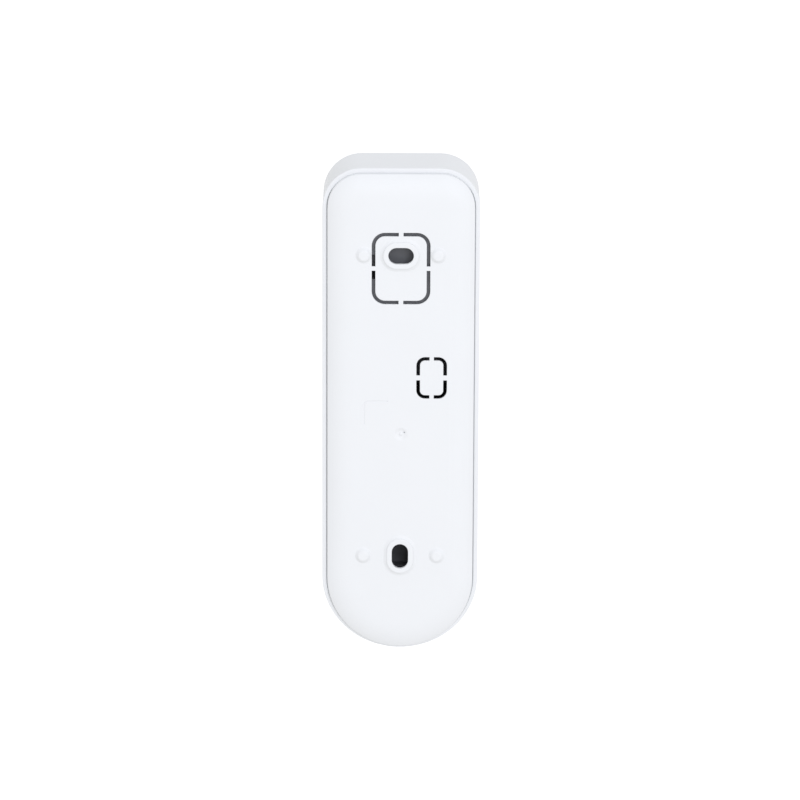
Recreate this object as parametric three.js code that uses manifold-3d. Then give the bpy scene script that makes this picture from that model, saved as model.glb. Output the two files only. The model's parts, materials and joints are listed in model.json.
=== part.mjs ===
// Slim video doorbell on a snap-in mounting plate, as an assembly of separate pieces.
// Millimetres. X runs to the right seen from the front, the front faces -Y, Z is up.
// The wall is the plane Y = 0 and the origin is at mid-height in that plane.

import * as THREE from 'three';
import { mergeVertices } from 'three/addons/utils/BufferGeometryUtils.js';
import Module from 'manifold-3d';

const wasm = await Module();
wasm.setup();

// ---------------------------------------------------------------- driving dimensions

const WIDTH = 44;
const HEIGHT = 139.2;
const TOP_CORNER = 11;
const END_HEIGHT = 21;          // semi-height of the half-ellipse that ends the body at the bottom
const END_SPREAD = 0.7;         // at that end the rim tapers, and every outline inside it drops by this

const PLATE_BACK_Y = -1;        // flat back of the mounting plate; its bosses reach the wall at 0
const PLATE_INNER_Y = -2.8;
const RIM_Y = -4.6;             // rear edge of the front cover
const PLATE_EDGE_Y = -8;        // front edge of the plate's skirt
const REAR_COVER_Y = -8.6;
const BOARD_BACK_Y = -19.4;
const BOARD_FRONT_Y = -20.6;
const FRONT_INNER_Y = -26.4;
const FRONT_Y = -29;

const LIP = 1.1;                // rim of the front cover around the plate
const SEAM = 0.3;               // gap between that rim and the plate
const WALL = 2.4;               // side wall of the front cover
const GAP = 0.3;                // clearance between neighbouring pieces
const OVERLAP = 1;              // how far a cutting tool runs past the face that it opens

const FRONT_ROUNDING = 3.2;
const PLATE_INSET = LIP + SEAM;
const PLATE_ROUNDING = 8.5;     // width of the plate's crowned border
const PLATE_CROWN = 2.3;        // how far that border falls at the plate's edge
const PLATE_SKIRT = 1.6;

const CAMERA_Z = 52;
const PIR_Z = 17;
const MICROPHONE_Z = 5;
const SPEAKER_Z = -12;
const BUTTON_Z = -46;

const UPPER_SLOT_Z = 45.6;
const LOWER_SLOT_Z = -41.4;
const SLOT_LENGTH = 7.1;
const SLOT_WIDTH = 4.6;
const BOSS_RIM = 1.5;
const BOSS_FOOT = 0.9;          // extra width of a boss's or a pad's drafted foot, on each side
const PAD_X = 10.4;
const PAD_RADIUS = 1.5;
const RING_THICKNESS = 0.6;     // plate thickness left under a knock-out groove
const TRACK_SPREAD = 0.7;       // how much wider than its groove the thinned track is, on each side
const SCREW_SEATS = [[1, -1.1], [2, -1.6]];    // steps round a slot: how much wider, and the depth in Y

const LOCK_SCREW_Y = -14.6;
const HEAD_BOTTOM = -69;
const HEAD_TOP = -66.8;
const HOUSING_SCREWS = [[-15.6, 55], [15.6, 55], [-15.6, -27], [15.6, -27]];

const CORNER_STEPS = 5;
const END_STEPS = 18;
const SMALL_ROUND = 8;
const MEDIUM_ROUND = 14;
const LARGE_ROUND = 24;

// ---------------------------------------------------------------- solids

function solid(geometry) {
  const bare = geometry.clone();
  bare.deleteAttribute('normal');
  bare.deleteAttribute('uv');
  const merged = mergeVertices(bare, 1e-4);
  const index = merged.index.array;
  const kept = [];
  for (let i = 0; i < index.length; i += 3) {
    const [a, b, c] = [index[i], index[i + 1], index[i + 2]];
    if (a !== b && b !== c && c !== a) kept.push(a, b, c);
  }
  return new wasm.Manifold(new wasm.Mesh({
    numProp: 3,
    vertProperties: new Float32Array(merged.attributes.position.array),
    triVerts: new Uint32Array(kept),
  }));
}

function geometryOf(body) {
  const mesh = body.getMesh();
  const geometry = new THREE.BufferGeometry();
  geometry.setAttribute('position', new THREE.BufferAttribute(new Float32Array(mesh.vertProperties), 3));
  geometry.setIndex(new THREE.BufferAttribute(new Uint32Array(mesh.triVerts), 1));
  geometry.computeVertexNormals();
  return geometry;
}

const join = (first, ...others) => others.reduce((body, other) => body.add(other), first);
const cut = (first, ...tools) => tools.reduce((body, tool) => body.subtract(tool), first);

// A box from its limits on each axis.
function block([x0, x1], [y0, y1], [z0, z1]) {
  const geometry = new THREE.BoxGeometry(x1 - x0, y1 - y0, z1 - z0);
  geometry.translate((x0 + x1) / 2, (y0 + y1) / 2, (z0 + z1) / 2);
  return solid(geometry);
}

// A flat shape drawn in X and Z, extruded along Y from its back face to its front face.
function prism(shape, back, front, curveSegments = 2) {
  const settings = { depth: back - front, bevelEnabled: false, curveSegments };
  const geometry = new THREE.ExtrudeGeometry(shape, settings);
  geometry.rotateX(Math.PI / 2);
  geometry.translate(0, back, 0);
  return solid(geometry);
}

// A round bar along Y at (x, z).
function disc(radius, back, front, x = 0, z = 0, steps = MEDIUM_ROUND) {
  const geometry = new THREE.CylinderGeometry(radius, radius, back - front, steps);
  geometry.translate(x, (back + front) / 2, z);
  return solid(geometry);
}

// A round bar along Z at (x, y).
function post(radius, bottom, top, x, y, steps = SMALL_ROUND) {
  const geometry = new THREE.CylinderGeometry(radius, radius, top - bottom, steps);
  geometry.rotateX(Math.PI / 2);
  geometry.translate(x, y, (bottom + top) / 2);
  return solid(geometry);
}

// A solid of revolution about Y. The profile is [radius, y] pairs from its front (low y) to its back.
function turned(profile, steps = MEDIUM_ROUND) {
  return solid(new THREE.LatheGeometry(profile.map(([r, y]) => new THREE.Vector2(r, y)), steps));
}

function tube(outer, inner, back, front, steps = MEDIUM_ROUND) {
  return turned([[inner, front], [outer, front], [outer, back], [inner, back], [inner, front]], steps);
}

// ---------------------------------------------------------------- outlines

// The body's outline, moved inwards: rounded top corners, straight sides, half an ellipse at the bottom.
function outlinePoints(inset) {
  const halfWidth = WIDTH / 2 - inset;
  const top = HEIGHT / 2 - inset;
  const radius = TOP_CORNER - inset;
  const endCentre = END_HEIGHT - HEIGHT / 2;
  const endHeight = END_HEIGHT - inset + END_SPREAD * Math.min(1, inset / PLATE_INSET);
  const points = [];
  for (let k = 0; k <= CORNER_STEPS; k++) {
    const a = (k / CORNER_STEPS) * Math.PI / 2;
    points.push([halfWidth - radius + radius * Math.cos(a), top - radius + radius * Math.sin(a)]);
  }
  for (let k = 0; k <= CORNER_STEPS; k++) {
    const a = (1 + k / CORNER_STEPS) * Math.PI / 2;
    points.push([radius - halfWidth + radius * Math.cos(a), top - radius + radius * Math.sin(a)]);
  }
  for (let k = 0; k <= END_STEPS; k++) {
    const a = (1 + k / END_STEPS) * Math.PI;
    points.push([halfWidth * Math.cos(a), endCentre + endHeight * Math.sin(a)]);
  }
  return points;
}

const outline = (inset) => new THREE.Shape(outlinePoints(inset).map(([x, z]) => new THREE.Vector2(x, z)));
const outlinePrism = (inset, back, front) => prism(outline(inset), back, front);

// A solid through a stack of outlines, [y, inset] from the front to the back. Every outline is convex.
function loft(levels) {
  const rings = levels.map(([y, inset]) => outlinePoints(inset).map(([x, z]) => [x, y, z]));
  const count = rings[0].length;
  const positions = rings.flat();
  const frontCentre = positions.push([0, levels[0][0], 0]) - 1;
  const backCentre = positions.push([0, levels.at(-1)[0], 0]) - 1;
  const index = [];
  const last = (rings.length - 1) * count;
  for (let i = 0; i < count; i++) {
    const next = (i + 1) % count;
    for (let k = 0; k + 1 < rings.length; k++) {
      const row = k * count;
      index.push(row + i, row + count + next, row + next);
      index.push(row + i, row + count + i, row + count + next);
    }
    index.push(frontCentre, i, next);
    index.push(backCentre, last + next, last + i);
  }
  const geometry = new THREE.BufferGeometry();
  geometry.setAttribute('position', new THREE.Float32BufferAttribute(positions.flat(), 3));
  geometry.setIndex(index);
  return solid(geometry);
}

function roundedRectangle(width, height, radius, x = 0, z = 0, Path = THREE.Shape) {
  const [w, h] = [width / 2 - radius, height / 2 - radius];
  const path = new Path();
  path.moveTo(x + w + radius, z - h);
  path.absarc(x + w, z + h, radius, 0, Math.PI / 2);
  path.absarc(x - w, z + h, radius, Math.PI / 2, Math.PI);
  path.absarc(x - w, z - h, radius, Math.PI, 1.5 * Math.PI);
  path.absarc(x + w, z - h, radius, 1.5 * Math.PI, 2 * Math.PI);
  return path;
}

function frameShape(width, height, radius, thickness, x, z) {
  const shape = roundedRectangle(width, height, radius, x, z);
  shape.holes.push(roundedRectangle(
    width - 2 * thickness, height - 2 * thickness, radius - thickness, x, z, THREE.Path));
  return shape;
}

function obround(width, height, x, z) {
  return roundedRectangle(width, height, Math.min(width, height) / 2 - 0.001, x, z);
}

// ---------------------------------------------------------------- materials and scene graph

function finish(color, roughness, metalness = 0) {
  return new THREE.MeshStandardMaterial({ color, roughness, metalness });
}

const MATERIALS = {
  white: finish(0xf3f4f7, 0.45),
  blackPlastic: finish(0x2b2c30, 0.5),
  darkPlastic: finish(0x4d4f56, 0.55),
  glossBlack: finish(0x0b0c0e, 0.08),
  glass: finish(0x9fb4c8, 0.03),
  lens: finish(0x1d2440, 0.03),
  diffuser: finish(0xe8f1f6, 0.35),
  rubber: finish(0x202124, 0.8),
  silicone: finish(0xc9ccd1, 0.7),
  board: finish(0x1d5a37, 0.5),
  chip: finish(0x17181a, 0.45),
  ceramic: finish(0xe9e2c8, 0.5),
  steel: finish(0xb4b7bb, 0.3, 1),
  brass: finish(0xc8a24a, 0.3, 1),
  copperFlex: finish(0xb6702c, 0.45),
  cloth: finish(0x111214, 0.95),
};

const doorbell = new THREE.Group();

function section(x = 0, y = 0, z = 0) {
  const group = new THREE.Group();
  group.position.set(x, y, z);
  doorbell.add(group);
  return group;
}

function part(group, name, body, material, x = 0, y = 0, z = 0) {
  const mesh = new THREE.Mesh(geometryOf(body), material);
  mesh.name = name;
  mesh.position.set(x, y, z);
  group.add(mesh);
}

// ---------------------------------------------------------------- mounting plate

// Y of the plate's back at a distance in from its edge.
function plateCrown(distance) {
  return PLATE_BACK_Y - PLATE_CROWN * (1 - distance / PLATE_ROUNDING) ** 3;
}

const UPPER_RING = {
  width: 16.34, height: 20.4, radius: 3.7, groove: 1, bridgeTop: 1.35, bridgeSide: 1.25, x: 0, z: 41.8,
};
const LOWER_RING = {
  width: 8.55, height: 12, radius: 2.4, groove: 1, bridgeTop: 1.25, bridgeSide: 1.4, x: -8.7, z: 10.4,
};

// A break-away outline: a groove right through the plate, with four bridges, in a thinned track.
function knockOut({ width, height, radius, groove, bridgeTop, bridgeSide, x, z }) {
  const ring = prism(frameShape(width, height, radius, groove, x, z), OVERLAP, PLATE_INNER_Y - OVERLAP);
  const bridges = join(
    block([x - bridgeTop / 2, x + bridgeTop / 2], [-9, 9], [z - height, z + height]),
    block([x - width, x + width], [-9, 9], [z - bridgeSide / 2, z + bridgeSide / 2]),
  );
  const track = frameShape(
    width + 2 * TRACK_SPREAD, height + 2 * TRACK_SPREAD, radius + TRACK_SPREAD,
    groove + 2 * TRACK_SPREAD, x, z);
  const thinning = prism(track, PLATE_BACK_Y - RING_THICKNESS, PLATE_INNER_Y - OVERLAP, 1);
  return join(cut(ring, bridges), thinning);
}

function slotBoss(width, height, z) {
  const [topWidth, topHeight] = [width + 2 * BOSS_RIM, height + 2 * BOSS_RIM];
  return join(
    prism(obround(topWidth, topHeight, 0, z), 0, PLATE_INNER_Y),
    prism(obround(topWidth + BOSS_FOOT, topHeight + BOSS_FOOT, 0, z), -0.5, PLATE_INNER_Y),
  );
}

// The slot itself, with its stepped seat for the wall screw's head on the inner side.
function slotOpening(width, height, z) {
  return join(
    prism(obround(width, height, 0, z), OVERLAP, PLATE_INNER_Y - OVERLAP),
    ...SCREW_SEATS.map(([wider, depth]) => prism(
      obround(width + 2 * wider, height + 2 * wider, 0, z), depth, PLATE_INNER_Y - OVERLAP)),
  );
}

// A conical stand-off pad that reaches the wall.
function pad(x, z) {
  const height = 1.4;
  const geometry = new THREE.CylinderGeometry(PAD_RADIUS, PAD_RADIUS + BOSS_FOOT, height, SMALL_ROUND);
  geometry.translate(x, -height / 2, z);
  return solid(geometry);
}

// The shallow dimple where the plate was injected.
function gateDimple() {
  const geometry = new THREE.SphereGeometry(6.4, MEDIUM_ROUND, MEDIUM_ROUND);
  geometry.translate(-0.1, 5.1, -5.9);
  return solid(geometry);
}

function mountingPlate() {
  const levels = [[PLATE_EDGE_Y, PLATE_INSET]];
  for (const distance of [0, 1.2, 2.8, 5, PLATE_ROUNDING]) {
    levels.push([plateCrown(distance), PLATE_INSET + distance]);
  }
  const hollow = outlinePrism(PLATE_INSET + PLATE_SKIRT, PLATE_INNER_Y, PLATE_EDGE_Y - OVERLAP);
  const edge = HEIGHT / 2 - PLATE_INSET;
  const topTongue = block([-12, 12], [-6.7, -5.5], [edge - 1, edge + 0.65]);
  const lockTab = block([-4.5, 4.5], [-17.2, PLATE_INNER_Y + 0.5], [-56.4, -54.4]);
  const tabRib = block([-0.6, 0.6], [-8, PLATE_INNER_Y + 0.5], [-55, -51]);
  const pads = [UPPER_SLOT_Z, LOWER_SLOT_Z].flatMap((z) => [pad(-PAD_X, z), pad(PAD_X, z)]);
  const body = join(
    cut(loft(levels), hollow), topTongue, lockTab, tabRib,
    slotBoss(SLOT_LENGTH, SLOT_WIDTH, UPPER_SLOT_Z),
    slotBoss(SLOT_WIDTH, SLOT_LENGTH, LOWER_SLOT_Z),
    ...pads,
  );
  return cut(
    body,
    slotOpening(SLOT_LENGTH, SLOT_WIDTH, UPPER_SLOT_Z),
    slotOpening(SLOT_WIDTH, SLOT_LENGTH, LOWER_SLOT_Z),
    knockOut(UPPER_RING),
    knockOut(LOWER_RING),
    gateDimple(),
    post(1.5, -58, -53, 0, LOCK_SCREW_Y),
  );
}

part(section(), 'mounting_plate', mountingPlate(), MATERIALS.white);

// ---------------------------------------------------------------- front cover

const WINDOW = { width: 32, height: 34, radius: 6, z: 46.5, recess: 1.8, ledge: 1.6 };
const LEDGE_INSET = 4;
const LEDGE_Y = [-13.5, -12];
const SPEAKER_SLOTS = [[-6, 7], [-3, 11], [0, 12.4], [3, 11], [6, 7]];

function coverOutside() {
  const levels = [];
  const steps = 3;
  for (let k = 0; k <= steps; k++) {
    const a = (k / steps) * Math.PI / 2;
    levels.push([FRONT_Y + FRONT_ROUNDING * (1 - Math.cos(a)), FRONT_ROUNDING * (1 - Math.sin(a))]);
  }
  levels.push([RIM_Y - 0.4, 0], [RIM_Y, 0.4]);
  return loft(levels);
}

function coverBoss(x, z) {
  const outer = x + Math.sign(x) * 4.2;
  const web = [Math.min(x, outer), Math.max(x, outer)];
  return join(
    disc(2.5, REAR_COVER_Y - 1.9, FRONT_INNER_Y - 0.5, x, z, SMALL_ROUND),
    block(web, [FRONT_INNER_Y - 0.5, LEDGE_Y[0]], [z - 0.8, z + 0.8]),
  );
}

const BOARD_SCREWS = [[9.8, 26.8], [-9.8, -26.3]];

function frontCover() {
  const hollow = [
    outlinePrism(LIP, RIM_Y + OVERLAP, -8.3),
    outlinePrism(WALL, -8, LEDGE_Y[1]),
    outlinePrism(LEDGE_INSET, -11, LEDGE_Y[0] - 0.5),
    outlinePrism(WALL, LEDGE_Y[0], FRONT_INNER_Y),
  ];
  const windowSeat = prism(
    roundedRectangle(WINDOW.width + 2 * GAP, WINDOW.height + 2 * GAP, WINDOW.radius + GAP, 0, WINDOW.z),
    FRONT_Y + WINDOW.recess, FRONT_Y - OVERLAP);
  const inner = [WINDOW.width, WINDOW.height].map((size) => size - 2 * WINDOW.ledge);
  const windowOpening = prism(
    roundedRectangle(...inner, WINDOW.radius - WINDOW.ledge, 0, WINDOW.z),
    FRONT_INNER_Y + OVERLAP, FRONT_Y - OVERLAP);
  const throughFront = (radius, z, steps) => disc(
    radius, FRONT_INNER_Y + OVERLAP, FRONT_Y - OVERLAP, 0, z, steps);
  const speakerSlots = SPEAKER_SLOTS.map(([dz, length]) => prism(
    obround(length, 1.4, 0, SPEAKER_Z + dz), FRONT_INNER_Y + OVERLAP, FRONT_Y - OVERLAP, 1));
  const shell = cut(
    coverOutside(), ...hollow, windowSeat, windowOpening, ...speakerSlots,
    throughFront(7.3, PIR_Z, MEDIUM_ROUND),
    throughFront(0.7, MICROPHONE_Z, SMALL_ROUND),
    throughFront(14.6, BUTTON_Z, LARGE_ROUND),
    block([-12.4, 12.4], [-7.3, -5.2], [67, HEIGHT / 2 - 0.55]),
    post(2.9, -HEIGHT / 2 - OVERLAP, -65, 0, LOCK_SCREW_Y, MEDIUM_ROUND),
  );
  const bosses = HOUSING_SCREWS.map(([x, z]) => coverBoss(x, z));
  const boardBosses = BOARD_SCREWS.map(([x, z]) => disc(
    2.3, BOARD_FRONT_Y - GAP, FRONT_INNER_Y - 0.5, x, z, SMALL_ROUND));
  const housingBores = HOUSING_SCREWS.map(([x, z]) => disc(1.4, REAR_COVER_Y, -20.5, x, z, SMALL_ROUND));
  const boardBores = BOARD_SCREWS.map(([x, z]) => disc(1.2, BOARD_BACK_Y, -25.5, x, z, SMALL_ROUND));
  return cut(join(shell, ...bosses, ...boardBosses), ...housingBores, ...boardBores);
}

const front = section();
part(front, 'front_cover', frontCover(), MATERIALS.white);

const windowPanel = prism(
  roundedRectangle(WINDOW.width, WINDOW.height, WINDOW.radius, 0, WINDOW.z), FRONT_Y + 1.5, FRONT_Y);
const cameraHole = disc(7.7, -20, -40, 0, CAMERA_Z, LARGE_ROUND);
part(front, 'camera_window', cut(windowPanel, cameraHole), MATERIALS.glossBlack);

// ---------------------------------------------------------------- rear cover

const TAMPER = { x: 2, z: 37 };
const REAR_BASE = 1.6;

// Pockets pressed into the rear cover: limits of the hollow on X and Z, and its floor.
const POCKETS = [
  { x: [-5.5, 11], z: [32.5, 42], floor: -13.4 },
  { x: [-16, -1], z: [-5, 19.5], floor: -16.2 },
  { x: [-6, 6], z: [-46.5, -36], floor: -12.5 },
  { x: [-7, 7], z: [-57.5, -49.5], floor: -18 },
];
const POCKET_WALL = 1.1;

// A raised panel close behind the plate's upper knock-out, hollow on its inner side.
const PANEL = { width: 24.4, height: 33, radius: 3, z: 43.5, y: -4.8 };

function rearCover() {
  const grow = ([low, high]) => [low - POCKET_WALL, high + POCKET_WALL];
  const pocketWalls = POCKETS.map(({ x, z, floor }) => block(
    grow(x), [floor - POCKET_WALL, REAR_COVER_Y - 1], grow(z)));
  const lockBlock = block([-8.1, 8.1], [-18 - POCKET_WALL, REAR_COVER_Y - 1], [-64.8, -57]);
  const deep = join(...pocketWalls, lockBlock).intersect(outlinePrism(4.4, 0, -25));
  const base = join(
    outlinePrism(WALL + GAP, REAR_COVER_Y, REAR_COVER_Y - REAR_BASE),
    prism(roundedRectangle(PANEL.width, PANEL.height, PANEL.radius, 0, PANEL.z), PANEL.y, REAR_COVER_Y - 1),
  );
  const panelHollow = cut(
    prism(
      roundedRectangle(
        PANEL.width - 2 * REAR_BASE, PANEL.height - 2 * REAR_BASE, PANEL.radius - REAR_BASE, 0, PANEL.z),
      PANEL.y - REAR_BASE, REAR_COVER_Y - REAR_BASE - OVERLAP),
    block(grow(POCKETS[0].x), [-20, 0], grow(POCKETS[0].z)),
  );
  const hollows = POCKETS.map(({ x, z, floor }) => block(x, [floor, OVERLAP], z));
  const guide = disc(4.4, -7.6, -13.6, TAMPER.x, TAMPER.z);
  const screwHoles = HOUSING_SCREWS.map(([x, z]) => disc(1.5, 0, -12, x, z, SMALL_ROUND));
  return cut(
    join(cut(join(cut(base, panelHollow), deep), ...hollows), guide),
    disc(3.2, 0, -12.8, TAMPER.x, TAMPER.z),
    disc(2, 0, -20, TAMPER.x, TAMPER.z, SMALL_ROUND),
    ...screwHoles,
    post(2.8, -70, -62.6, 0, LOCK_SCREW_Y, MEDIUM_ROUND),
    post(2.2, -63, -58.6, 0, LOCK_SCREW_Y, MEDIUM_ROUND),
    post(1.5, -59, -57, 0, LOCK_SCREW_Y),
  );
}

const rear = section();
part(rear, 'rear_cover', rearCover(), MATERIALS.darkPlastic);

function sealRing() {
  const shape = outline(WALL + GAP + 0.1);
  shape.holes.push(new THREE.Path(outlinePoints(WALL + GAP + 0.8).map(([x, z]) => new THREE.Vector2(x, z))));
  return prism(shape, REAR_COVER_Y - REAR_BASE - GAP, LEDGE_Y[1] + GAP);
}

part(rear, 'housing_seal', sealRing(), MATERIALS.rubber);

// A pan-head screw along Y with a cross recess; its head stands on a face at y = 0 and points to +Y.
function panScrew(headRadius, headHeight, shaftRadius, shaftLength) {
  const body = turned([
    [0, -shaftLength], [shaftRadius, -shaftLength + 0.4], [shaftRadius, 0], [headRadius, 0],
    [headRadius, headHeight * 0.5], [headRadius * 0.75, headHeight], [0, headHeight],
  ], SMALL_ROUND);
  const arm = headRadius * 0.55;
  const width = headRadius * 0.12;
  return cut(
    body,
    block([-arm, arm], [headHeight * 0.4, headHeight + 1], [-width, width]),
    block([-width, width], [headHeight * 0.4, headHeight + 1], [-arm, arm]),
  );
}

const housingScrew = panScrew(2.3, 1.5, 1.1, 11.2);
HOUSING_SCREWS.forEach(([x, z], k) => {
  part(rear, `housing_screw_${k + 1}`, housingScrew, MATERIALS.steel, x, REAR_COVER_Y + GAP, z);
});

// ---------------------------------------------------------------- terminals and tamper switch

const TERMINAL = { x: -8.5, z: 0.5, width: 13, height: 9.6, pitch: 6 };

function terminalBlock() {
  const body = block([-TERMINAL.width / 2, TERMINAL.width / 2], [-15.9, -10], [-4.8, 4.8]);
  const wells = [-1, 1].flatMap((side) => {
    const x = side * TERMINAL.pitch / 2;
    return [
      disc(2.2, -9, -12, x, -1.2, SMALL_ROUND),
      disc(1.3, -11, -14.6, x, -1.2, SMALL_ROUND),
      block([x - 1.3, x + 1.3], [-14.9, -12.3], [1.6, 6]),
    ];
  });
  return cut(body, ...wells);
}

const terminals = section(TERMINAL.x, 0, TERMINAL.z);
part(terminals, 'terminal_block', terminalBlock(), MATERIALS.blackPlastic);
const terminalScrew = panScrew(1.9, 1.2, 1, 2.2);
[-1, 1].forEach((side, k) => {
  const x = side * TERMINAL.pitch / 2;
  part(terminals, `terminal_screw_${k + 1}`, terminalScrew, MATERIALS.steel, x, -11.7, -1.2);
});

const tamper = section(TAMPER.x, 0, TAMPER.z);
const plungerProfile = [
  [0, -14.6], [1.2, -14.6], [1.6, -14.2], [1.6, -4.3], [3, -4.3], [3, -3.5], [2.6, -3.1], [0, -3.1],
];
part(tamper, 'tamper_plunger', turned(plungerProfile), MATERIALS.white);
part(tamper, 'tamper_spring', tube(2.8, 2.1, -4.6, -12, MEDIUM_ROUND), MATERIALS.steel);
part(tamper, 'tamper_switch', block([-3, 3], [BOARD_BACK_Y + GAP, -15.1], [-3, 3]), MATERIALS.chip);

// ---------------------------------------------------------------- security screw

const lock = section(0, LOCK_SCREW_Y, 0);
function securityScrew() {
  const shaft = post(1.2, HEAD_TOP - 0.2, -57.3, 0, 0);
  const head = post(2.5, HEAD_BOTTOM, HEAD_TOP, 0, 0, MEDIUM_ROUND);
  const socket = post(1.3, HEAD_BOTTOM - OVERLAP, HEAD_BOTTOM + 1.3, 0, 0, 6);
  return cut(join(head, shaft), socket);
}

part(lock, 'security_screw', securityScrew(), MATERIALS.steel);
const insert = cut(post(1.9, -62.3, -58.9, 0, 0, MEDIUM_ROUND), post(1.5, -64, -57, 0, 0));
part(lock, 'lock_insert', insert, MATERIALS.brass);

// ---------------------------------------------------------------- circuit board

const boardGroup = section();
const BOARD_HALF_WIDTH = 12.8;
const BOARD_Z = [-58, 43.5];

function mainBoard() {
  const height = BOARD_Z[1] - BOARD_Z[0];
  const shape = roundedRectangle(2 * BOARD_HALF_WIDTH, height, 2, 0, (BOARD_Z[0] + BOARD_Z[1]) / 2);
  const holes = BOARD_SCREWS.map(([x, z]) => disc(1.4, 0, -30, x, z, SMALL_ROUND));
  return cut(prism(shape, BOARD_BACK_Y, BOARD_FRONT_Y, 1), ...holes);
}

// A component soldered on the back (side = 1) or the front (side = -1) of the main board.
function onBoard(side, width, height, thickness) {
  const face = side > 0 ? BOARD_BACK_Y + GAP : BOARD_FRONT_Y - GAP;
  const far = face + side * thickness;
  const depth = [Math.min(face, far), Math.max(face, far)];
  return block([-width / 2, width / 2], depth, [-height / 2, height / 2]);
}

part(boardGroup, 'main_board', mainBoard(), MATERIALS.board);
part(boardGroup, 'processor', onBoard(1, 10, 10, 1), MATERIALS.chip, -4, 0, 25.5);
part(boardGroup, 'memory_chip', onBoard(1, 7, 8, 0.9), MATERIALS.chip, -8, 0, 36.5);
part(boardGroup, 'radio_shield', onBoard(1, 15, 17, 2.2), MATERIALS.steel, 2.5, 0, -22);
part(boardGroup, 'power_inductor', onBoard(1, 7, 7, 4), MATERIALS.chip, 7, 0, -7);
part(boardGroup, 'backup_capacitor', post(3.9, -10, 10, 0, 0, MEDIUM_ROUND), MATERIALS.chip, 7, -14.5, 9);
const boardScrew = panScrew(2, 1.3, 0.9, 5.4);
BOARD_SCREWS.forEach(([x, z], k) => {
  part(boardGroup, `board_screw_${k + 1}`, boardScrew, MATERIALS.steel, x, BOARD_BACK_Y + GAP, z);
});

const antenna = block([-0.35, 0.35], [-24, -16.5], [-14, 14]);
const antennaSlots = [-9, -3, 3, 9].map((z, k) => block(
  [-1, 1], k % 2 ? [-22.6, -15] : [-25, -17.9], [z - 0.9, z + 0.9]));
part(boardGroup, 'antenna', cut(antenna, ...antennaSlots), MATERIALS.brass, 18.8, 0, 20);

// ---------------------------------------------------------------- camera

const camera = section(0, 0, CAMERA_Z);
part(camera, 'lens_bezel', turned([
  [5.6, -28.6], [6.2, -29.3], [6.9, -29.3], [7.3, -28.9], [7.3, -27.5], [5.6, -27.5], [5.6, -28.6],
], LARGE_ROUND), MATERIALS.darkPlastic);
part(camera, 'lens_cover_glass', disc(5.3, -27.7, -28.5, 0, 0, LARGE_ROUND), MATERIALS.glass);
part(camera, 'lens_barrel', turned([
  [0, -25], [2.6, -25], [4.2, -26.9], [6, -26.9], [6, -23], [5.4, -23], [5.4, -17.5], [0, -17.5],
], LARGE_ROUND), MATERIALS.blackPlastic);
part(camera, 'lens_element', turned([
  [0, -26.5], [1, -26.4], [1.8, -26.1], [2.4, -25.7], [2.4, -25.3], [0, -25.3],
]), MATERIALS.lens);
part(camera, 'lens_holder', cut(
  block([-6.5, 6.5], [-17.2, -13.2], [-6.5, 6.5]),
  block([-4.8, 4.8], [-15.8, -12], [-4.8, 4.8]),
  disc(3.6, -15, -18),
), MATERIALS.blackPlastic);
part(camera, 'image_sensor', block([-3.5, 3.5], [-14.3, -13.2], [-3, 3]), MATERIALS.glass);
part(camera, 'camera_board', prism(roundedRectangle(16, 15, 1), -11.9, -12.9, 1), MATERIALS.board);
part(camera, 'infrared_board', cut(
  prism(roundedRectangle(25.2, 27, 3), -21.4, -22.4), disc(6.6, -20, -24, 0, 0, LARGE_ROUND),
), MATERIALS.board);
const emitter = turned([
  [0, -24.3], [0.7, -24.1], [1, -23.7], [1.4, -23.7], [1.4, -22.7], [0, -22.7],
], SMALL_ROUND);
[[-9.2, 9.2], [9.2, 9.2], [-9.2, -9.2], [9.2, -9.2]].forEach(([x, z], k) => {
  part(camera, `infrared_led_${k + 1}`, emitter, MATERIALS.ceramic, x, 0, z);
});
part(camera, 'light_sensor', block([-1.2, 1.2], [-23.6, -22.7], [-1, 1]), MATERIALS.glass, 0, 0, -11);

// Flat cable from the camera board down to the main board.
function cameraFlex() {
  const route = new THREE.CatmullRomCurve3([
    [-13.3, 44.95], [-15.5, 44.8], [-17.4, 44.1], [-18.6, 42.8], [-18.95, 41.2],
  ].map(([y, z]) => new THREE.Vector3(0, y, z)));
  const [w, t] = [4, 0.1];
  const corners = [[-w, -t], [w, -t], [w, t], [-w, t]];
  const ribbon = new THREE.Shape(corners.map(([x, y]) => new THREE.Vector2(x, y)));
  return solid(new THREE.ExtrudeGeometry(ribbon, { steps: 12, extrudePath: route }));
}

part(section(), 'camera_flex', cameraFlex(), MATERIALS.copperFlex);

// ---------------------------------------------------------------- motion sensor, microphone and speaker

const motion = section(0, 0, PIR_Z);
part(motion, 'pir_lens', turned([
  [0, -29.5], [2.4, -29.42], [4.6, -29.16], [6.4, -28.7], [7, -28.3], [7, -26.1], [8.4, -26.1], [8.4, -25.3],
  [6.1, -25.3], [6.1, -27.9], [4.2, -28.4], [2.2, -28.66], [0, -28.74],
], LARGE_ROUND), MATERIALS.silicone);
part(motion, 'pir_sensor', turned([
  [0, -24.4], [4.1, -24.4], [4.1, -21.5], [4.6, -21.5], [4.6, BOARD_FRONT_Y - GAP], [0, BOARD_FRONT_Y - GAP],
]), MATERIALS.steel);

const microphone = section(0, 0, MICROPHONE_Z);
part(microphone, 'microphone', onBoard(-1, 4, 3.2, 1.1), MATERIALS.steel);
part(microphone, 'microphone_seal', tube(2.4, 0.7, -22.3, -26.1, SMALL_ROUND), MATERIALS.rubber);

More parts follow.
